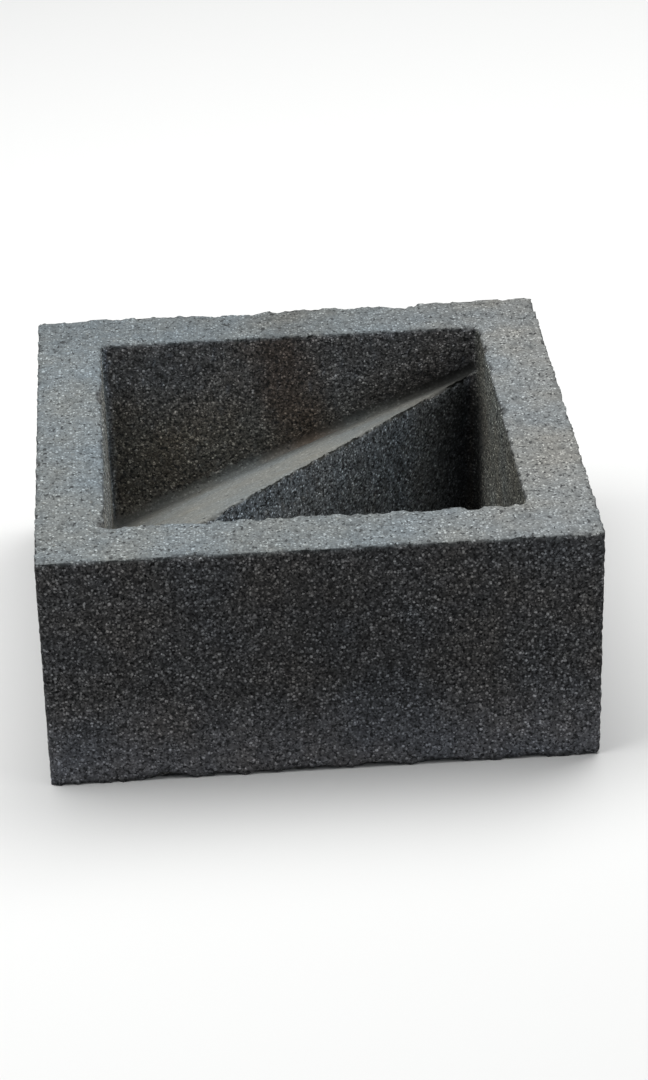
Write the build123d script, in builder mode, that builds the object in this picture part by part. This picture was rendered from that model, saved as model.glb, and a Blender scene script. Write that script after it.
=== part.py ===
from build123d import *
import math
import os

# Square precast concrete screen block, lying on its back face.
# It is cast in one piece: four walls round a square opening, and a wedge shaped web
# that closes one half of the opening. The web's face slopes down from a crest on the
# diagonal to a thin corner. The other half is a triangular light opening.
# Millimetres, +Z up. The origin is the middle of the back face, on the level
# that the block lies on. -Y is the front wall and +X the right wall.

# Driving dimensions
block_width = 250.0          # outer size, square in plan
block_height = 115.0         # from the back face up to the top
wall_thickness = 31.5        # at the top, where the opening is widest
crest_depth = 24.0           # from the top down to the web's crest
web_corner_thickness = 12.5  # web at its thin corner, far left
core_draft = 0.7             # degrees that the opening's walls lean in, going down
outer_corner_radius = 2.0    # upright outer corners
pocket_corner_radius = 2.5   # upright corners of the square opening
core_corner_radius = 4.0     # narrow upright corners of the light opening
slope_radius = 1.5           # round the web's sloping face: its crest and its foot
arris_radius = 0.8           # edges of the top and of the back face

# Sizes and planes that follow
opening_width = block_width - 2 * wall_thickness
half_opening = opening_width / 2
crest_height = block_height - crest_depth
slope_run = opening_width / math.sqrt(2)
slope_drop = crest_height - web_corner_thickness
top_plane = Plane.XY.offset(block_height)
slope_plane = Plane(
    origin=(0, 0, crest_height),
    x_dir=(1, 1, 0),
    z_dir=(-slope_drop, slope_drop, math.sqrt(2) * slope_run),
)
across_diagonal = Axis((0, 0, 0), (1, -1, 0))


def is_upright(edge):
    return abs((edge % 0.5).Z) > 0.9


def is_on_slope(edge):
    return abs(slope_plane.to_local_coords(edge @ 0.5).Z) < 0.01


# Light opening: a triangular core, narrower going down
with BuildPart() as light_opening:
    with BuildSketch(top_plane):
        with BuildLine():
            Polyline(
                (-half_opening, -half_opening),
                (half_opening, -half_opening),
                (half_opening, half_opening),
                close=True,
            )
        make_face()
    extrude(amount=-block_height)
    draft(light_opening.faces().filter_by(Axis.Z, reverse=True), top_plane, -core_draft)
    corners = light_opening.edges().filter_by(is_upright).sort_by(across_diagonal)
    fillet(corners[:2], core_corner_radius)
    corners = light_opening.edges().filter_by(is_upright).sort_by(across_diagonal)
    fillet(corners[-1], pocket_corner_radius)

# Pocket: the square opening, down to the web's sloping face
with BuildPart() as pocket:
    with BuildSketch(top_plane):
        Rectangle(opening_width, opening_width)
    extrude(amount=-block_height)
    draft(pocket.faces().filter_by(Axis.Z, reverse=True), top_plane, -core_draft)
    fillet(pocket.edges().filter_by(is_upright), pocket_corner_radius)
    split(bisect_by=slope_plane, keep=Keep.TOP)

# Block: the outer form, less the light opening and the pocket
with BuildPart() as screen_block:
    with BuildSketch():
        Rectangle(block_width, block_width)
    extrude(amount=block_height)
    fillet(screen_block.edges().filter_by(Axis.Z), outer_corner_radius)
    add(light_opening.part, mode=Mode.SUBTRACT)
    add(pocket.part, mode=Mode.SUBTRACT)

    fillet(screen_block.edges().filter_by(is_on_slope), slope_radius)
    rims = screen_block.edges().group_by(Axis.Z)
    fillet(rims[0] + rims[-1], arris_radius)

screen_block.part.label = "screen_block"

os.makedirs("parts", exist_ok=True)
export_step(screen_block.part, "parts/screen_block.step")
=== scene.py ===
import bpy
import math
import random

import bmesh
import numpy as np
from mathutils import Matrix, Vector


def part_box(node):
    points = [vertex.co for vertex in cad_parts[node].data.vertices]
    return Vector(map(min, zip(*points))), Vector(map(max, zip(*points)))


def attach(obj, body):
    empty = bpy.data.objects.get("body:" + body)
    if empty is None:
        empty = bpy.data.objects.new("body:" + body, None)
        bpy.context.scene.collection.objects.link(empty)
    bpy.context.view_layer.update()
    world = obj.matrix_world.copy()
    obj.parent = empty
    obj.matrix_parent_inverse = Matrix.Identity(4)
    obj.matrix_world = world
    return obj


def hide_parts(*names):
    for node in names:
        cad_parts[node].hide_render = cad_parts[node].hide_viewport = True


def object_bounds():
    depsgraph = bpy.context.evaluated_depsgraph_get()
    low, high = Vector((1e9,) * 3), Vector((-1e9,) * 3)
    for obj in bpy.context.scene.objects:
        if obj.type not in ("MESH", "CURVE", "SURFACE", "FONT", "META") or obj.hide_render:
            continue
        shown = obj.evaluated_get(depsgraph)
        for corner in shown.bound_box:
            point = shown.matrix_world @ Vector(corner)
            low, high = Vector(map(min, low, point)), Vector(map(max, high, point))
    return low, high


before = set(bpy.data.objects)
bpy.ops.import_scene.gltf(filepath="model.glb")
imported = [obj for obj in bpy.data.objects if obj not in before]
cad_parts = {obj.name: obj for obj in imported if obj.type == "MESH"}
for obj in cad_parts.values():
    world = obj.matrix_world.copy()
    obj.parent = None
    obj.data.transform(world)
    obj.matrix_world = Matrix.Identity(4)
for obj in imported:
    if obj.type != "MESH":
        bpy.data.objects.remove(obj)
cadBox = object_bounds()
blockLow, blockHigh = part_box("screen_block")
print("frame loaded, block", [round(v, 4) for v in blockHigh - blockLow])


# Camera: at the photo's own distance and angle to the block, looking at its middle
cameraSetup = {
    "place": (-0.0699, -1.2897, 0.7626),
    "lookAt": (0.0088, 0.0, 0.0500),
    "rollDegrees": -1.47,
    "lens": 102.4,       # on a sensor 36 mm along the picture's long side
    "sensor": 36.0,
    "clipStart": 0.05,
    "clipEnd": 30.0,
}


def makeCamera(setup):
    data = bpy.data.cameras.new("camera")
    camera = bpy.data.objects.new("camera", data)
    bpy.context.scene.collection.objects.link(camera)
    place = Vector(setup["place"])
    aim = (Vector(setup["lookAt"]) - place).to_track_quat("-Z", "Y").to_matrix()
    roll = Matrix.Rotation(math.radians(setup["rollDegrees"]), 3, "Z")
    camera.matrix_world = Matrix.Translation(place) @ (aim @ roll).to_4x4()
    data.lens = setup["lens"]
    data.sensor_width = setup["sensor"]
    data.clip_start = setup["clipStart"]
    data.clip_end = setup["clipEnd"]
    bpy.context.scene.camera = camera


# Studio: pale floor, one large soft lamp overhead, a weak fill and an even grey world
studio = {
    "floorSize": 8.0,
    "floorSeen": (0.80, 0.80, 0.79),      # what the camera sees
    "floorBounce": (0.30, 0.30, 0.30),    # what lights the block from below
    "floorRoughness": 0.9,
    "floorSpecular": 0.1,
    "lampsAim": (0, 0, 0.05),
    "overheadPlace": (-0.15, 0.30, 1.8),
    "overheadSize": (3.2, 1.2),           # wide, so that light comes in from both sides
    "overheadWatts": 58.0,
    "fillPlace": (1.9, -0.9, 1.5),
    "fillSize": (1.2, 1.2),
    "fillWatts": 7.0,
    "worldColour": (0.9, 0.95, 1.0),
    "worldStrength": 0.14,
}


def makeFloor(setup):
    bpy.ops.object.select_all(action="DESELECT")
    bpy.ops.mesh.primitive_plane_add(size=setup["floorSize"], location=(0, 0, blockLow.z))
    floor = bpy.context.active_object
    floor.name = "floor"
    material = bpy.data.materials.new("pale floor")
    material.use_nodes = True
    nodes, links = material.node_tree.nodes, material.node_tree.links
    shader = nodes["Principled BSDF"]
    shader.inputs["Roughness"].default_value = setup["floorRoughness"]
    shader.inputs["Specular IOR Level"].default_value = setup["floorSpecular"]
    ray = nodes.new("ShaderNodeLightPath")
    colour = nodes.new("ShaderNodeMix")
    colour.data_type = "RGBA"
    colour.inputs["A"].default_value = (*setup["floorBounce"], 1)
    colour.inputs["B"].default_value = (*setup["floorSeen"], 1)
    links.new(ray.outputs["Is Camera Ray"], colour.inputs["Factor"])
    links.new(colour.outputs["Result"], shader.inputs["Base Color"])
    floor.data.materials.append(material)


def makeLamp(name, setup):
    data = bpy.data.lights.new(name, "AREA")
    data.shape = "RECTANGLE"
    data.size, data.size_y = setup[name + "Size"]
    data.energy = setup[name + "Watts"]
    lamp = bpy.data.objects.new(name, data)
    bpy.context.scene.collection.objects.link(lamp)
    lamp.location = setup[name + "Place"]
    aim = Vector(setup["lampsAim"]) - lamp.location
    lamp.rotation_euler = aim.to_track_quat("-Z", "Y").to_euler()


def makeWorld(setup):
    world = bpy.data.worlds.new("studio")
    bpy.context.scene.world = world
    world.use_nodes = True
    background = world.node_tree.nodes["Background"]
    background.inputs["Color"].default_value = (*setup["worldColour"], 1)
    background.inputs["Strength"].default_value = setup["worldStrength"]


makeCamera(cameraSetup)
makeFloor(studio)
makeLamp("overhead", studio)
makeLamp("fill", studio)
makeWorld(studio)
bpy.context.scene.view_settings.view_transform = "Standard"
print("camera, floor and lights ready")


# The block's form, in metres. Its outer size comes from the frame.
block = {
    "wall": 0.0315,            # at the top
    "crestDepth": 0.024,       # top to the web's crest
    "webCorner": 0.0125,       # web at its thin corner
    "draftDegrees": 0.7,       # the opening's walls lean in, going down
    "coreOverrun": 0.005,      # how far a core runs out of the block, above and below
    "outerCorner": 0.002,      # upright outer corners
    "openingCorner": 0.0025,   # upright corners of the opening
    "cornerSegments": 4,
    "narrowCorner": 0.0095,    # along each wall, which rounds the light opening's narrow corners to 4 mm
    "narrowSegments": 8,
    "voxel": 0.001,            # first mesh of the surface
    "softening": (0.5, 3),     # strength and number of passes
    "triangles": 192000,       # kept in the end
}

# What follows from them. The web's slope falls from its crest, on the diagonal, to the far left corner.
halfWidth = (blockHigh.x - blockLow.x) / 2
halfOpening = halfWidth - block["wall"]
wallLean = math.tan(math.radians(block["draftDegrees"]))
crestLevel = blockHigh.z - block["crestDepth"]
slopeRun = math.sqrt(2) * halfOpening
slopeFall = crestLevel - blockLow.z - block["webCorner"]
slopeLength = math.hypot(slopeRun, slopeFall)


def selectOnly(thing):
    bpy.ops.object.select_all(action="DESELECT")
    thing.select_set(True)
    bpy.context.view_layer.objects.active = thing


def pick(thing, kind, test):
    # in edit mode: selects the faces or edges whose test holds, and nothing else
    bpy.ops.mesh.select_mode(type={"faces": "FACE", "edges": "EDGE"}[kind])
    bpy.ops.mesh.select_all(action="DESELECT")
    mesh = bmesh.from_edit_mesh(thing.data)
    for element in getattr(mesh, kind):
        if test(element):
            element.select_set(True)
    mesh.select_flush_mode()
    bmesh.update_edit_mesh(thing.data)


def finishWith(thing, name, kind, **settings):
    # one modifier, set and applied
    modifier = thing.modifiers.new(name, kind)
    for key, value in settings.items():
        setattr(modifier, key, value)
    selectOnly(thing)
    bpy.ops.object.modifier_apply(modifier=name)


squarely = 0.9     # from this share on, an edge or a face counts as lying along an axis


def isUpright(edge):
    run = edge.verts[0].co - edge.verts[1].co
    return abs(run.z) > squarely * run.length


def makeCore(size, name):
    # the square core that leaves the opening, wider at the top by the draft; it stays in edit mode
    past = size["coreOverrun"]
    halfTop = halfOpening + wallLean * past
    tall = blockHigh.z - blockLow.z + 2 * past
    bpy.ops.object.select_all(action="DESELECT")
    bpy.ops.mesh.primitive_cube_add(size=1, location=(0, 0, (blockHigh.z + blockLow.z) / 2),
                                    scale=(2 * halfTop, 2 * halfTop, tall))
    core = bpy.context.active_object
    core.name = name
    bpy.ops.object.transform_apply(location=True, rotation=True, scale=True)
    bpy.ops.object.mode_set(mode="EDIT")
    pick(core, "faces", lambda face: face.normal.z < -squarely)
    narrower = 1 - wallLean * tall / halfTop
    bpy.ops.transform.resize(value=(narrower, narrower, 1), center_override=(0, 0, blockLow.z - past))
    return core


def makePocketCore(size):
    # cut off along the web's sloping face
    core = makeCore(size, "pocketCore")
    pick(core, "edges", isUpright)
    bpy.ops.mesh.bevel(offset=size["openingCorner"], segments=size["cornerSegments"])
    bpy.ops.mesh.select_all(action="SELECT")
    bpy.ops.mesh.bisect(plane_co=(0, 0, crestLevel),
                        plane_no=(-slopeFall, slopeFall, math.sqrt(2) * slopeRun),
                        use_fill=True, clear_inner=True)
    bpy.ops.object.mode_set(mode="OBJECT")
    return core


def makeLightCore(size):
    # the near right half of it, cut along the diagonal
    core = makeCore(size, "lightCore")
    bpy.ops.mesh.select_all(action="SELECT")
    bpy.ops.mesh.bisect(plane_co=(0, 0, blockHigh.z), plane_no=(-1, 1, -math.sqrt(2) * wallLean),
                        use_fill=True, clear_outer=True)
    isNarrow = lambda edge: edge.verts[0].co.x * edge.verts[0].co.y > 0
    pick(core, "edges", lambda edge: isUpright(edge) and isNarrow(edge))
    bpy.ops.mesh.bevel(offset=size["narrowCorner"], segments=size["narrowSegments"])
    farOut = 0.85 * halfOpening      # only the near right corner lies farther out than this in both x and y
    isNearRight = lambda edge: edge.verts[0].co.x > farOut and edge.verts[0].co.y < -farOut
    pick(core, "edges", lambda edge: isUpright(edge) and isNearRight(edge))
    bpy.ops.mesh.bevel(offset=size["openingCorner"], segments=size["cornerSegments"])
    bpy.ops.object.mode_set(mode="OBJECT")
    return core


def makeBlockForm(size):
    bpy.ops.object.select_all(action="DESELECT")
    bpy.ops.mesh.primitive_cube_add(size=1, location=(blockLow + blockHigh) / 2, scale=blockHigh - blockLow)
    form = bpy.context.active_object
    form.name = "pressedBlock"
    bpy.ops.object.transform_apply(location=True, rotation=True, scale=True)
    for core in (makePocketCore(size), makeLightCore(size)):
        finishWith(form, core.name, "BOOLEAN", operation="DIFFERENCE", object=core, solver="EXACT")
        bpy.data.objects.remove(core)
    return form


def findArrises(form, sharpDegrees):
    # each edge that stands out, with its ends and the way that it faces
    found = []
    mesh = bmesh.new()
    mesh.from_mesh(form.data)
    for edge in mesh.edges:
        if edge.is_convex and edge.calc_face_angle() > math.radians(sharpDegrees):
            outward = (edge.link_faces[0].normal + edge.link_faces[1].normal).normalized()
            found.append((edge.verts[0].co.copy(), edge.verts[1].co.copy(), outward))
    mesh.free()
    return found


def roundOuterCorners(form, size):
    selectOnly(form)
    bpy.ops.object.mode_set(mode="EDIT")
    pick(form, "edges", lambda edge: isUpright(edge) and abs(edge.verts[0].co.x) > halfWidth - 1e-5)
    bpy.ops.mesh.bevel(offset=size["outerCorner"], segments=size["cornerSegments"])
    bpy.ops.object.mode_set(mode="OBJECT")


# Chips knocked out of the arrises: notches along the front wall, and small ones all round
chips = {
    "seed": 11,
    "footNotches": [        # along the front wall's foot: middle x, length, height
        (-0.071, 0.024, 0.0036), (-0.046, 0.010, 0.0022), (-0.012, 0.016, 0.0024),
        (0.021, 0.022, 0.0034), (0.052, 0.028, 0.0030), (0.094, 0.012, 0.0020),
    ],
    "topNotches": [         # along the front wall's top: middle x, length, depth
        (-0.104, 0.010, 0.0018), (-0.056, 0.007, 0.0030), (-0.018, 0.009, 0.0020),
        (0.034, 0.012, 0.0022), (0.071, 0.008, 0.0018), (0.108, 0.006, 0.0020),
    ],
    "notchOut": 0.2,        # how far out a notch's middle lies, as a share of its height
    "sharpDegrees": 30,     # an edge that turns more than this is an arris
    "perMetre": 38,         # of small ones
    "radius": (0.0022, 0.0075),
    "moreSmall": 1.3,       # over 1, small radii are the more common ones
    "bite": (0.12, 0.45),   # depth, as a share of the radius
    "stretch": (1.0, 2.4),  # along the arris
    "jag": 0.22,            # raggedness, as a share of the radius
    "subdivisions": 2,      # of the ball that each one starts from
}


def addChip(middle, along, radius, stretch, number):
    bpy.ops.mesh.primitive_ico_sphere_add(subdivisions=chips["subdivisions"], radius=radius,
                                          location=(0, 0, 0))
    chip = bpy.context.active_object
    bpy.ops.object.mode_set(mode="EDIT")
    bpy.ops.mesh.select_all(action="SELECT")
    bpy.ops.transform.resize(value=(stretch, 1, 1))
    bpy.ops.transform.vertex_random(offset=chips["jag"] * radius, uniform=0.0, normal=0.0, seed=number)
    bpy.ops.object.mode_set(mode="OBJECT")
    chip.rotation_euler = along.to_track_quat("X", "Z").to_euler()
    chip.location = middle
    bpy.ops.object.transform_apply(location=True, rotation=True, scale=True)
    return chip


def addNotches(frontMiddle, notches, setup, cutters):
    for x, length, height in notches:
        middle = frontMiddle + Vector((x, -setup["notchOut"] * height, 0))
        cutters.append(addChip(middle, Vector((1, 0, 0)), height, length / (2 * height), len(cutters)))


def knockChips(form, arrises, setup):
    rng = random.Random(setup["seed"])
    cutters = []
    bpy.ops.object.select_all(action="DESELECT")
    addNotches(Vector((0, blockLow.y, blockLow.z)), setup["footNotches"], setup, cutters)
    addNotches(Vector((0, blockLow.y, blockHigh.z)), setup["topNotches"], setup, cutters)
    smallest, largest = setup["radius"]
    for start, end, outward in arrises:
        run = end - start
        for _ in range(int(run.length * setup["perMetre"] + rng.random())):
            radius = smallest * (largest / smallest) ** (rng.random() ** setup["moreSmall"])
            bite = rng.uniform(*setup["bite"])
            middle = start + run * rng.random() + outward * radius * (1 - bite)
            cutters.append(addChip(middle, run, radius, rng.uniform(*setup["stretch"]), len(cutters)))
    bpy.ops.object.select_all(action="DESELECT")
    for cutter in cutters:
        cutter.select_set(True)
    bpy.context.view_layer.objects.active = cutters[0]
    bpy.ops.object.join()
    cutter = cutters[0]
    finishWith(form, "chips", "BOOLEAN", operation="DIFFERENCE", object=cutter, solver="EXACT", use_self=True)
    bpy.data.objects.remove(cutter)
    return len(cutters)


form = makeBlockForm(block)
arrises = findArrises(form, chips["sharpDegrees"])
roundOuterCorners(form, block)
print("block form with", len(arrises), "arrises")
print("chips knocked out:", knockChips(form, arrises, chips))


# Where each kind of surface lies, as weights from 0 to 1 for every point of the mesh.
# A pair is where a weight starts and where it is whole, or the other way round, as depths in metres.
zoneEdges = {
    "opening": (0.0002, 0.0012),       # inside and outside the opening's walls
    "top": (0.0026, 0.0008),           # under the top
    "foot": (0.0008, 0.0026),          # over the foot
    "outer": (0.0030, 0.0012),         # inside the outer walls
    "slopeAbove": (0.0014, 0.0072),    # over the slope's plane, up the walls behind it
    "slopeBelow": (0.0010, 0.0026),    # under that plane
    "slopeFront": (0.0008, 0.0010),    # before and behind the crest
    "arris": (0.0003, 0.0034),         # away from an arris
    "hollow": 0.0012,                  # depth of a full hollow
}


def eased(value, low, high):
    share = np.clip((value - low) / (high - low), 0, 1)
    return share * share * (3 - 2 * share)


def readPoints(thing):
    points = np.empty(len(thing.data.vertices) * 3)
    thing.data.vertices.foreach_get("co", points)
    return points.reshape(-1, 3)


def arrisDistance(points, arrises):
    nearest = np.full(len(points), 1.0)
    for start, end, _ in arrises:
        start, run = np.array(start), np.array(end) - np.array(start)
        share = np.clip((points - start) @ run / (run @ run), 0, 1)
        nearest = np.minimum(nearest, np.linalg.norm(points - start - share[:, None] * run, axis=1))
    return nearest


def surfaceZones(points, arrises, edges):
    x, y, z = points.T
    top, foot = blockHigh.z, blockLow.z
    sideways = np.maximum(abs(x), abs(y))
    innerHalf = halfOpening - wallLean * (top - z)
    behind = (y - x) / math.sqrt(2)                      # away from the diagonal, to the far left
    overSlope = ((z - crestLevel) * slopeRun + behind * slopeFall) / slopeLength

    inOpening = 1 - eased(sideways, innerHalf - edges["opening"][0], innerHalf + edges["opening"][1])
    isTop = eased(z, top - edges["top"][0], top - edges["top"][1])
    isFoot = 1 - eased(z, foot + edges["foot"][0], foot + edges["foot"][1])
    isOuter = eased(sideways, halfWidth - edges["outer"][0], halfWidth - edges["outer"][1])
    isOuter = isOuter * (1 - isTop) * (1 - isFoot)
    isSlope = (1 - eased(overSlope, *edges["slopeAbove"])) * (1 - eased(-overSlope, *edges["slopeBelow"]))
    isSlope = isSlope * inOpening * eased(behind, -edges["slopeFront"][0], edges["slopeFront"][1])
    isInner = np.clip(1 - isTop - isFoot - isOuter - isSlope, 0, 1)
    isArris = 1 - eased(arrisDistance(points, arrises), *edges["arris"])

    # how far each point lies under the plane of its own surface
    wall = sideways - innerHalf
    diagonal = behind + wallLean * (crestLevel - z)
    hollow = np.where(isInner > 0.5, np.minimum(np.maximum(wall, 0), np.maximum(diagonal, 0) + (wall > 0)), 0)
    hollow = np.where((isInner > 0.5) & (wall < 0), np.maximum(diagonal, 0), hollow)
    hollow = np.where(isSlope > 0.5, np.maximum(-overSlope, 0), hollow)
    hollow = np.where(isOuter > 0.5, halfWidth - sideways, hollow)
    hollow = np.where(isFoot > 0.5, z - foot, hollow)
    hollow = np.where(isTop > 0.5, top - z, hollow)
    return {"top": isTop, "foot": isFoot, "outer": isOuter, "slope": isSlope, "inner": isInner,
            "arris": isArris, "hollow": np.clip(hollow / edges["hollow"], 0, 1)}


# Relief: each layer sinks the surface by up to its depth, never raises it.
# A layer with bite is flat down to that share of the noise, and below it are pits.
relief = [
    {"name": "wornArrises", "group": "arris", "grain": 0.0042, "detail": 2, "depth": 0.0013,
     "bite": (0.34, 0.60)},
    {"name": "unevenFaces", "group": "", "grain": 0.035, "detail": 1, "depth": 0.0002},
    {"name": "coarseSides", "group": "sides", "grain": 0.0032, "detail": 1, "depth": 0.0005,
     "bite": (0.36, 0.54)},
    {"name": "topPores", "group": "top", "grain": 0.0034, "detail": 1, "depth": 0.0008,
     "bite": (0.32, 0.44)},
    {"name": "slopePores", "group": "slope", "grain": 0.0034, "detail": 2, "depth": 0.0005,
     "bite": (0.30, 0.40)},
    {"name": "footPores", "group": "foot", "grain": 0.0034, "detail": 2, "depth": 0.0009,
     "bite": (0.35, 0.45)},
    {"name": "fineFaces", "group": "flat", "grain": 0.0045, "detail": 1, "depth": 0.0002},
]
slopeShare = 0.5     # of the last layer, on the slope


def reliefShares(zones):
    # how far each layer of the relief acts: off the arrises, where the surface faces two ways
    flat = 1 - zones["arris"]
    shares = {name: zones[name] * flat for name in ("top", "foot", "slope")}
    shares["sides"] = np.clip(zones["outer"] + zones["inner"], 0, 1) * flat
    shares["flat"] = flat * (1 - slopeShare * zones["slope"])
    shares["arris"] = zones["arris"]
    return shares


def storeWeights(thing, zones, asGroups):
    mesh = thing.data
    for name, weights in zones.items():
        layer = mesh.attributes.new(name, "FLOAT", "POINT")
        layer.data.foreach_set("value", weights.astype(np.float32))
    if asGroups:
        selectOnly(thing)
        for name in zones:
            mesh.attributes.active = mesh.attributes[name]
            bpy.ops.geometry.attribute_convert(mode="VERTEX_GROUP")


def sinkRelief(thing, layers):
    for layer in layers:
        texture = bpy.data.textures.new(layer["name"], "CLOUDS")
        texture.noise_scale = layer["grain"]
        texture.noise_depth = layer["detail"]
        texture.noise_basis = "ORIGINAL_PERLIN"
        if "bite" in layer:
            texture.use_color_ramp = True
            ramp = texture.color_ramp.elements
            ramp[0].position, ramp[1].position = layer["bite"]
            ramp[0].color, ramp[1].color = (0, 0, 0, 1), (1, 1, 1, 1)
        finishWith(thing, layer["name"], "DISPLACE", texture=texture, texture_coords="LOCAL",
                   direction="NORMAL", mid_level=1.0, strength=layer["depth"], vertex_group=layer["group"])


def settleInBox(thing):
    # never past the CAD's box, and down on the floor
    inside = np.clip(readPoints(thing), np.array(cadBox[0]), np.array(cadBox[1]))
    inside[:, 2] -= inside[:, 2].min() - blockLow.z
    thing.data.vertices.foreach_set("co", inside.ravel())
    thing.data.update()
    return inside


softStrength, softPasses = block["softening"]
finishWith(form, "fineMesh", "REMESH", mode="VOXEL", voxel_size=block["voxel"], use_smooth_shade=True)
finishWith(form, "softer", "SMOOTH", factor=softStrength, iterations=softPasses)
print("fine mesh", len(form.data.vertices), "points")
storeWeights(form, reliefShares(surfaceZones(readPoints(form), arrises, zoneEdges)), True)
sinkRelief(form, relief)
triangles = 2 * len(form.data.polygons)
finishWith(form, "lighter", "DECIMATE", decimate_type="COLLAPSE", ratio=block["triangles"] / triangles)
form.vertex_groups.clear()
storeWeights(form, surfaceZones(settleInBox(form), arrises, zoneEdges), False)
print("relief sunk,", len(form.data.polygons), "faces")


class NodeBench:
    # short words for building a node tree
    def __init__(self, material):
        material.use_nodes = True
        self.tree = material.node_tree
        self.shader = self.tree.nodes["Principled BSDF"]

    def put(self, kind, inputs=None, **settings):
        node = self.tree.nodes.new("ShaderNode" + kind)
        for key, value in settings.items():
            setattr(node, key, value)
        for key, value in (inputs or {}).items():
            self.feed(node.inputs[key], value)
        return node

    def feed(self, socket, value):
        if isinstance(value, bpy.types.NodeSocket):
            self.tree.links.new(value, socket)
        elif isinstance(value, tuple) and len(value) == 3 and socket.type == "RGBA":
            socket.default_value = (*value, 1)
        else:
            socket.default_value = value

    def zone(self, name):
        return self.put("Attribute", attribute_name=name).outputs["Fac"]

    def math(self, operation, a, b=0.0):
        return self.put("Math", {0: a, 1: b}, operation=operation).outputs[0]

    def add(self, a, b):
        return self.math("ADD", a, b)

    def less(self, a, b):
        return self.math("SUBTRACT", a, b)

    def times(self, value, *others):
        for other in others:
            value = self.math("MULTIPLY", value, other)
        return value

    def swing(self, noise, reach):
        # a noise from 0 to 1, made to swing round 0
        return self.times(self.less(noise, 0.5), reach)

    def faded(self, tone, share):
        # a tone brought nearer to 1, or farther from it where the share is over 1
        return self.add(self.times(self.less(tone, 1.0), share), 1.0)

    def span(self, value, low, high, toLow=0.0, toHigh=1.0):
        return self.put("MapRange", {"Value": value, "From Min": low, "From Max": high,
                                     "To Min": toLow, "To Max": toHigh}).outputs["Result"]

    def between(self, share, atNone, atFull):
        # from one number to another, as the share goes from 0 to 1
        return self.span(share, 0.0, 1.0, atNone, atFull)

    def steps(self, value, stops):
        # a curve through the stops, by a ramp of greys that are halved, so that it reaches 2
        ramp = self.put("ValToRGB", {"Fac": value})
        line = ramp.color_ramp.elements
        while len(line) < len(stops):
            line.new(1.0)
        for element, (at, level) in zip(line, stops):
            element.position = at
            element.color = (level / 2, level / 2, level / 2, 1)
        return self.times(ramp.outputs["Color"], 2.0)

    def vector(self, operation, a, b, output="Vector"):
        return self.put("VectorMath", {0: a, 1: b}, operation=operation).outputs[output]

    def parts(self, colour):
        return self.put("SeparateColor", {"Color": colour}).outputs

    def mix(self, share, a, b, blend="MIX"):
        node = self.put("Mix", data_type="RGBA", blend_type=blend)
        self.feed(node.inputs["Factor"], share)
        self.feed(node.inputs["A"], a)
        self.feed(node.inputs["B"], b)
        return node.outputs["Result"]

    def tinted(self, colour, tint):
        return self.mix(1.0, colour, tint, "MULTIPLY")

    def grey(self, level):
        return self.put("CombineColor", {"Red": level, "Green": level, "Blue": level}).outputs["Color"]

    def noise(self, place, size, detail, rough, output="Fac"):
        return self.put("TexNoise", {"Vector": place, "Scale": 1 / size, "Detail": detail,
                                     "Roughness": rough}).outputs[output]

    def cells(self, place, size):
        return self.put("TexVoronoi", {"Vector": place, "Scale": 1 / size}).outputs


# Concrete, in six parts. Colours are as they are in even light, apart from the painted light and shade marked
# below; sizes and places in metres.
# Four numbers in a row are where a change starts and ends, and from what to what it goes.
# A noise has three: its size, how many times it is broken up finer, and how rough that makes it.
concreteGround = {
    "top": (0.257, 0.278, 0.280),             # pressed face, pale and a little cool
    "topTints": [(0.875, 0.902, 0.926), (1.058, 1.016, 0.990)],     # left and middle, and right
    "topTintRun": (0.020, 0.110),             # x
    "farTopDim": (0.080, 0.105, 1.0, 0.87),   # y
    "side": (0.204, 0.205, 0.209),            # sheared faces, open grain; kept darker than the top partly as painted shade, as if the sides got less light
    "low": (0.345, 0.347, 0.368),             # foot of the outer walls, finer and paler, and paler still as painted light against the shade near the floor
    "lowRun": (0.046, 0.008),                 # z
    "lowWave": (0.030, 3.0, 0.6),             # noise by which its upper edge wanders
    "lowWaveReach": 0.016,
    "inner": (0.259, 0.264, 0.250),           # warmer inside the opening, and lighter than the outer sides as painted light
    "facing": (0.75, 0.92),                   # how squarely a wall faces one way, to count as that wall
    "web": (0.302, 0.336, 0.364),             # web's upright face, cooler, and much lighter as painted light
    "webLeftLift": (-0.150, 0.040, 0.52, 0.0),       # x + y; painted light, lighter towards the web's near left end
    "webCrestLift": (0.055, 0.090, 0.0, 0.36),       # z; painted light, lighter towards the crest
    "rightTint": (0.92, 0.92, 0.86),          # right wall inside, a little olive
    "rightLift": (-0.040, 0.050, 0.0, 0.42),         # y; painted light, lighter towards the far end
    "rightLiftEnd": (0.084, 0.060),                  # y; where that painted light fades out again, at the far wall
    "farTints": [(0.98, 0.90, 0.83), (1.05, 1.02, 1.09)],     # far wall inside, brown with dust low down
    "farTintRun": (0.060, 0.092),             # z
    "leftLift": 2.0,                          # left wall inside, the palest one: painted light, twice as light
    "slope": (0.212, 0.220, 0.207),           # smooth and creamy
    "slopeSpeckle": (0.0026, 3.0, 0.6),       # noise that makes its edge rough
    "slopeSpeckleReach": 1.6,
    "slopeEdge": (0.12, 0.48),
    "slopePaintedShade": [(0.050, 0.150, 1.0, 0.50), (0.135, 0.168, 1.0, 0.30)],     # x + y; painted shade, darker towards the far right corner
}


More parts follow.
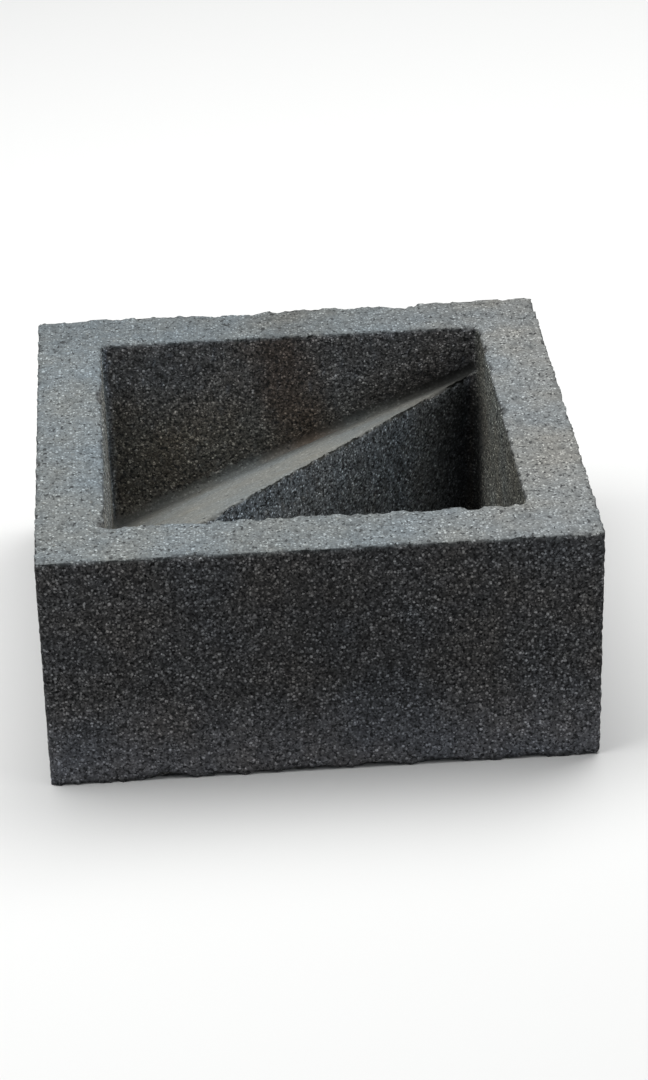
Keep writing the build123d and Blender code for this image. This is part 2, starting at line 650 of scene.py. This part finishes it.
def readSurface(bench, look):
    # where on the block a point lies, which surface it is on and which wall it belongs to
    place = bench.put("TexCoord").outputs["Object"]
    axes = bench.put("SeparateXYZ", {"Vector": place}).outputs
    on = {name: bench.zone(name) for name in ("top", "slope", "inner", "outer", "hollow")}
    on.update(place=place, x=axes["X"], y=axes["Y"], z=axes["Z"])
    on["farRight"] = bench.add(on["x"], on["y"])        # grows towards the far right
    on["farLeft"] = bench.less(on["y"], on["x"])        # and this towards the far left
    normal = bench.put("NewGeometry").outputs["Normal"]
    turned = bench.put("SeparateXYZ", {"Vector": normal}).outputs
    toNearRight = bench.vector("DOT_PRODUCT", normal, (0.707, -0.707, 0.0), "Value")
    low, high = look["facing"]
    on["web"] = bench.times(bench.span(toNearRight, low, high), on["inner"])
    on["rightWall"] = bench.times(bench.span(turned["X"], -low, -high), on["inner"])
    on["leftWall"] = bench.times(bench.span(turned["X"], low, high), on["inner"])
    on["farWall"] = bench.times(bench.span(turned["Y"], -low, -high), on["inner"])
    return on


def groundColour(bench, on, look):
    wavy = bench.noise(on["place"], *look["lowWave"])
    level = bench.add(on["z"], bench.swing(wavy, look["lowWaveReach"]))
    on["low"] = bench.times(bench.span(level, *look["lowRun"]), on["outer"])
    colour = bench.mix(on["low"], look["side"], look["low"])
    # painted light: the inside, and the web's face more so, are lighter than the outer sides
    colour = bench.mix(on["inner"], colour, look["inner"])
    colour = bench.mix(on["web"], colour, look["web"])

    farTop = bench.grey(bench.span(on["y"], *look["farTopDim"]))
    topTint = bench.mix(bench.span(on["x"], *look["topTintRun"]), *look["topTints"])
    colour = bench.mix(on["top"], colour, bench.tinted(bench.tinted(look["top"], farTop), topTint))

    # Painted light: the web's face and the right and left walls inside are made lighter, each by the way it
    # faces
    webLift = bench.add(bench.span(on["farRight"], *look["webLeftLift"]),
                        bench.span(on["z"], *look["webCrestLift"]))
    webLift = bench.times(on["web"], webLift)
    rightLift = bench.times(bench.span(on["y"], *look["rightLift"]),
                            bench.span(on["y"], *look["rightLiftEnd"]))
    rightLift = bench.times(on["rightWall"], rightLift)
    leftLift = bench.times(on["leftWall"], look["leftLift"] - 1)
    lift = bench.add(bench.add(bench.add(webLift, rightLift), leftLift), 1.0)
    colour = bench.tinted(colour, bench.grey(lift))
    colour = bench.mix(on["rightWall"], colour, bench.tinted(colour, look["rightTint"]))
    farTint = bench.mix(bench.span(on["z"], *look["farTintRun"]), *look["farTints"])
    colour = bench.mix(on["farWall"], colour, bench.tinted(colour, farTint))

    speckle = bench.swing(bench.noise(on["place"], *look["slopeSpeckle"]), look["slopeSpeckleReach"])
    on["slope"] = bench.span(bench.add(on["slope"], speckle), *look["slopeEdge"])
    # painted shade: the slope darkens towards the far right corner
    fade = [bench.span(on["farRight"], *run) for run in look["slopePaintedShade"]]
    return bench.mix(on["slope"], colour, bench.tinted(look["slope"], bench.grey(bench.times(*fade))))


# Stains and dirt, and painted shade in the narrow far corner and along the slope's joint with the far wall
concreteDirtAndPaintedShade = {
    "stain": (0.144, 0.078, 0.038),           # brown, from the far wall's top down into the opening
    "stainOnTop": (0.112, 0.104, 0.090),
    "stainLeft": (0.100, 0.060, 0.006, -0.005),      # z; it drifts to the right on its way down
    "stainLeftOnTop": 0.006,                  # less than that
    "stainWander": (0.016, 3.0, 0.5),         # noise by which it wanders
    "stainWanderReach": 0.030,
    "stainWidth": (0.022, 0.003),             # each side of its middle
    "stainFrom": (0.088, 0.092),              # y
    "stainFall": (0.030, 0.070, 0.7, 1.0),    # z
    "stainShare": (0.52, 0.36),               # off the top and on it
    "stainOutside": 0.3,                      # of that, on the far wall's outer side
    "paintedShade": 0.75,                            # painted shade in the narrow far corner, and beside it on the right wall
    "paintedShadeRun": (0.120, 0.168),               # x + y
    "paintedShadeTop": (0.098, 0.080),               # z
    "paintedShadeRight": (0.068, 0.090, 0.0, 0.6),   # y
    "damp": (0.02, 0.02, 0.02),               # a darker patch on the front wall
    "dampShare": 0.20,
    "dampPlace": (0.012, 0.068),              # its middle, x and z
    "dampReach": (0.100, 0.020),
    "jointOver": (0.014, 0.003),              # painted shade where the slope meets the far wall, more to the right
    "jointRun": (0.000, 0.110, 0.0, 0.32),    # x + y
    "jointBehind": (0.002, 0.006),            # y - x
    "paintedShadeColour": (0.030, 0.031, 0.032),     # of the painted shade in the far corner and along the slope's joint
    "dustOver": (0.016, 0.005),               # pale dust where the slope ends low, at the far left
    "dustRun": (0.040, 0.008, 0.0, 0.7),      # x + y
    "dustColour": (0.52, 0.50, 0.45),
}


def addDirtAndPaintedShade(bench, on, colour, look):
    wander = bench.swing(bench.noise(on["place"], *look["stainWander"]), look["stainWanderReach"])
    left = bench.less(bench.span(on["z"], *look["stainLeft"]), bench.times(on["top"], look["stainLeftOnTop"]))
    away = bench.math("ABSOLUTE", bench.add(bench.add(on["x"], left), wander))
    stain = bench.times(bench.span(away, *look["stainWidth"]), bench.span(on["y"], *look["stainFrom"]),
                        bench.span(on["z"], *look["stainFall"]),
                        bench.between(on["top"], *look["stainShare"]),
                        bench.between(on["outer"], 1.0, look["stainOutside"]))
    colour = bench.mix(stain, colour, bench.mix(on["top"], look["stain"], look["stainOnTop"]))

    # painted shade in the narrow far corner, below the top, and beside it on the right wall
    paintedShade = bench.times(on["inner"], bench.span(on["z"], *look["paintedShadeTop"]))
    paintedShade = bench.times(bench.span(on["farRight"], *look["paintedShadeRun"]), paintedShade)
    beside = bench.times(on["rightWall"], bench.span(on["y"], *look["paintedShadeRight"]))
    paintedShade = bench.times(bench.math("MAXIMUM", paintedShade, beside), look["paintedShade"])
    colour = bench.mix(paintedShade, colour, look["paintedShadeColour"])

    dampX, dampZ = look["dampPlace"]
    off = bench.vector("DISTANCE", on["place"], (dampX, blockLow.y, dampZ), "Value")
    damp = bench.times(bench.span(off, *look["dampReach"], 0.0, look["dampShare"]), on["outer"])
    colour = bench.mix(damp, colour, look["damp"])

    run = slopeRun / slopeLength
    fall = slopeFall / slopeLength / math.sqrt(2)
    overSlope = bench.add(bench.times(on["z"], run), bench.times(on["farLeft"], fall))
    overSlope = bench.less(overSlope, crestLevel * run)
    # painted shade along the slope's joint with the far wall
    joint = bench.times(bench.span(overSlope, *look["jointOver"]),
                        bench.span(on["farRight"], *look["jointRun"]),
                        on["inner"], bench.span(on["farLeft"], *look["jointBehind"]))
    colour = bench.mix(joint, colour, look["paintedShadeColour"])
    dust = bench.times(bench.span(overSlope, *look["dustOver"]), bench.span(on["farRight"], *look["dustRun"]))
    return bench.mix(bench.times(dust, on["farWall"]), colour, look["dustColour"])


# Broad patches, lighter and darker, warmer and cooler
concretePatches = {
    "patch": (0.045, 3.0, 0.6),
    "tintRun": (0.35, 0.65),
    "tints": [(1.04, 0.995, 0.945), (0.96, 1.0, 1.045)],
    "blot": (0.012, 4.0, 0.62),
    "blotTone": (0.3, 0.7, 0.985, 1.015),
    "clump": (0.0045, 2.0, 0.6),
    "clumpTone": (0.3, 0.7, 0.975, 1.025),
    "clumpOnTop": 0.45,                       # how much less of it the top has
}


def addPatches(bench, on, colour, look):
    patches = bench.noise(on["place"], *look["patch"])
    colour = bench.tinted(colour, bench.mix(bench.span(patches, *look["tintRun"]), *look["tints"]))
    blots = bench.noise(on["place"], *look["blot"])
    clumps = bench.noise(on["place"], *look["clump"])
    clumpShare = bench.less(1.0, bench.times(on["top"], look["clumpOnTop"]))
    clumpTone = bench.faded(bench.span(clumps, *look["clumpTone"]), clumpShare)
    return colour, bench.times(bench.span(blots, *look["blotTone"]), clumpTone)


# Grains of sand and fine stone, each with its own tone, in a darker bed of cement; that bed is darkened
# partly as painted shade between the grains, most on the sides
concreteGrains = {
    "warp": (0.0030, 1.0, 0.5),               # noise that makes them less regular
    "warpReach": 0.0006,
    "grain": 0.00135,
    "grainReach": (0.26, 0.64),               # smallest and largest
    "grainEdge": (-0.07, 0.09),
    "grainTones": [(0.0, 0.50), (0.16, 0.62), (0.22, 0.88), (0.68, 1.05), (0.78, 1.40), (1.0, 2.0)],
    "bed": 0.66,                              # tone of the cement between them, partly painted shade between the grains
    "fine": 0.0009,
    "fineTones": [(0.0, 0.68), (0.2, 0.88), (0.8, 1.10), (1.0, 1.38)],
    "loudTop": 0.85,                          # how strongly the top shows them
    "louderOutside": 0.90,                    # how much more the outer walls do, partly as painted shade of the grains' relief
    "louderInside": 0.66,
    "lowQuieter": 0.50,                       # how much less the outer walls' foot does
    "stone": 0.0080,                          # how far apart the larger stones lie
    "stoneReach": (0.08, 0.26),
    "stoneEdge": (0.0, 0.03),
    "stoneTones": [(0.0, 0.42), (0.45, 0.70), (0.55, 1.20), (1.0, 1.70)],
    "stoneShare": 0.36,
    "slopeCalm": 0.62,                        # the slope shows less of all this
}


def addGrains(bench, on, colour, tone, look):
    warp = bench.noise(on["place"], *look["warp"], "Color")
    warp = bench.vector("MULTIPLY", warp, (look["warpReach"],) * 3)
    on["grainPlace"] = bench.vector("ADD", on["place"], warp)
    grains = bench.cells(on["grainPlace"], look["grain"])
    fine = bench.cells(on["grainPlace"], look["fine"])
    own = bench.parts(grains["Color"])
    on["grainOwn"], on["fineAway"] = own["Red"], fine["Distance"]
    on["grainDepth"] = bench.less(bench.between(own["Blue"], *look["grainReach"]), grains["Distance"])
    isGrain = bench.span(on["grainDepth"], *look["grainEdge"])
    grainTone = bench.steps(own["Red"], look["grainTones"])
    fineTone = bench.steps(bench.parts(fine["Color"])["Green"], look["fineTones"])
    loud = bench.add(bench.times(on["outer"], look["louderOutside"]),
                     bench.times(on["inner"], look["louderInside"]))
    loud = bench.add(bench.less(loud, bench.times(on["low"], look["lowQuieter"])), look["loudTop"])
    bedded = bench.add(bench.times(bench.less(grainTone, look["bed"]), isGrain), look["bed"])
    tone = bench.times(tone, bench.faded(bench.times(bedded, fineTone), loud))

    stones = bench.cells(on["grainPlace"], look["stone"])
    stoneOwn = bench.parts(stones["Color"])
    stoneSize = bench.between(stoneOwn["Blue"], *look["stoneReach"])
    isStone = bench.span(bench.less(stoneSize, stones["Distance"]), *look["stoneEdge"])
    stoneTone = bench.steps(stoneOwn["Green"], look["stoneTones"])
    tone = bench.times(tone, bench.faded(stoneTone, bench.times(isStone, look["stoneShare"])))
    calm = bench.between(on["slope"], 1.0, look["slopeCalm"])
    return bench.mix(calm, colour, bench.tinted(colour, bench.grey(tone)))


# Open pores: many on the sheared sides, fewer on the top, hardly any on the slope. The pores are real, but
# their near-black is painted shade in the holes, and the relief's hollows get painted shade too
concretePores = {
    # near-black of the pores and of the relief's hollows, as painted shade
    "colour": (0.030, 0.031, 0.032),
    "pore": (0.0018, 1.0, 0.5),
    "level": 0.59,                            # of the noise, over which there is a pore
    "levelOnTop": 0.05,                       # more than that
    "levelOnSlope": 0.12,
    "edge": (0.0, 0.03),
    "hole": 0.0060,                           # how far apart single round holes may lie
    "holeReach": (0.50, 1.0, 0.07, 0.20),     # half of the places have one
    "holeEdge": (0.0, 0.04),
    "share": 0.8,
    "sunkenRun": (0.22, 1.0),                 # painted shade in the relief's hollows: only real hollows, not the faces' slight waves
    "sunkenShare": 0.42,
}


def addPores(bench, on, colour, look):
    noise = bench.noise(on["grainPlace"], *look["pore"])
    level = bench.add(look["level"], bench.times(on["top"], look["levelOnTop"]))
    level = bench.add(level, bench.times(on["slope"], look["levelOnSlope"]))
    pores = bench.span(bench.less(noise, level), *look["edge"])
    holes = bench.cells(on["grainPlace"], look["hole"])
    own = bench.parts(holes["Color"])["Red"]
    holeSize = bench.times(bench.span(own, *look["holeReach"]),
                           bench.math("GREATER_THAN", own, look["holeReach"][0]))
    isHole = bench.span(bench.less(holeSize, holes["Distance"]), *look["holeEdge"])
    on["pores"] = bench.math("MAXIMUM", pores, isHole)
    # painted shade, darker in the relief's deeper hollows
    sunken = bench.times(bench.span(on["hollow"], *look["sunkenRun"]), look["sunkenShare"])
    dark = bench.math("MAXIMUM", bench.times(on["pores"], look["share"]), sunken)
    return bench.mix(dark, colour, look["colour"])


# Surface: dull, with a fine relief of rounded grains, finer grains on them and the pores' hollows
concreteSurface = {
    "roughness": 0.93,
    "specular": 0.25,
    "grainRound": (-0.07, 0.40),
    "grainHeight": (0.35, 1.0),
    "fineRound": (0.0, 0.8, 1.0, 0.0),
    "fineHeight": 0.35,
    "poreDepth": 1.0,
    "slopeStrength": 0.2,
    "topStrength": 0.5,
    "strength": 1.0,
    "height": 0.0006,
}


def addFineRelief(bench, on, look):
    rounded = bench.span(on["grainDepth"], *look["grainRound"])
    fine = bench.span(on["fineAway"], *look["fineRound"])
    height = bench.times(rounded, bench.between(on["grainOwn"], *look["grainHeight"]))
    height = bench.add(height, bench.times(fine, look["fineHeight"]))
    height = bench.less(height, bench.times(on["pores"], look["poreDepth"]))
    strength = bench.times(bench.between(on["slope"], 1.0, look["slopeStrength"]),
                           bench.between(on["top"], 1.0, look["topStrength"]))
    bump = bench.put("Bump", {"Strength": look["strength"], "Distance": look["height"],
                              "Height": bench.times(height, strength)})
    return bump.outputs["Normal"]


def makeConcrete():
    material = bpy.data.materials.new("pressed grey concrete")
    bench = NodeBench(material)
    on = readSurface(bench, concreteGround)
    colour = groundColour(bench, on, concreteGround)
    colour = addDirtAndPaintedShade(bench, on, colour, concreteDirtAndPaintedShade)
    colour, tone = addPatches(bench, on, colour, concretePatches)
    colour = addGrains(bench, on, colour, tone, concreteGrains)
    colour = addPores(bench, on, colour, concretePores)
    bench.feed(bench.shader.inputs["Base Color"], colour)
    bench.shader.inputs["Roughness"].default_value = concreteSurface["roughness"]
    bench.shader.inputs["Specular IOR Level"].default_value = concreteSurface["specular"]
    bench.feed(bench.shader.inputs["Normal"], addFineRelief(bench, on, concreteSurface))
    return material


form.data.materials.clear()
form.data.materials.append(makeConcrete())
print("concrete finished")

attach(form, "root")
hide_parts("screen_block")
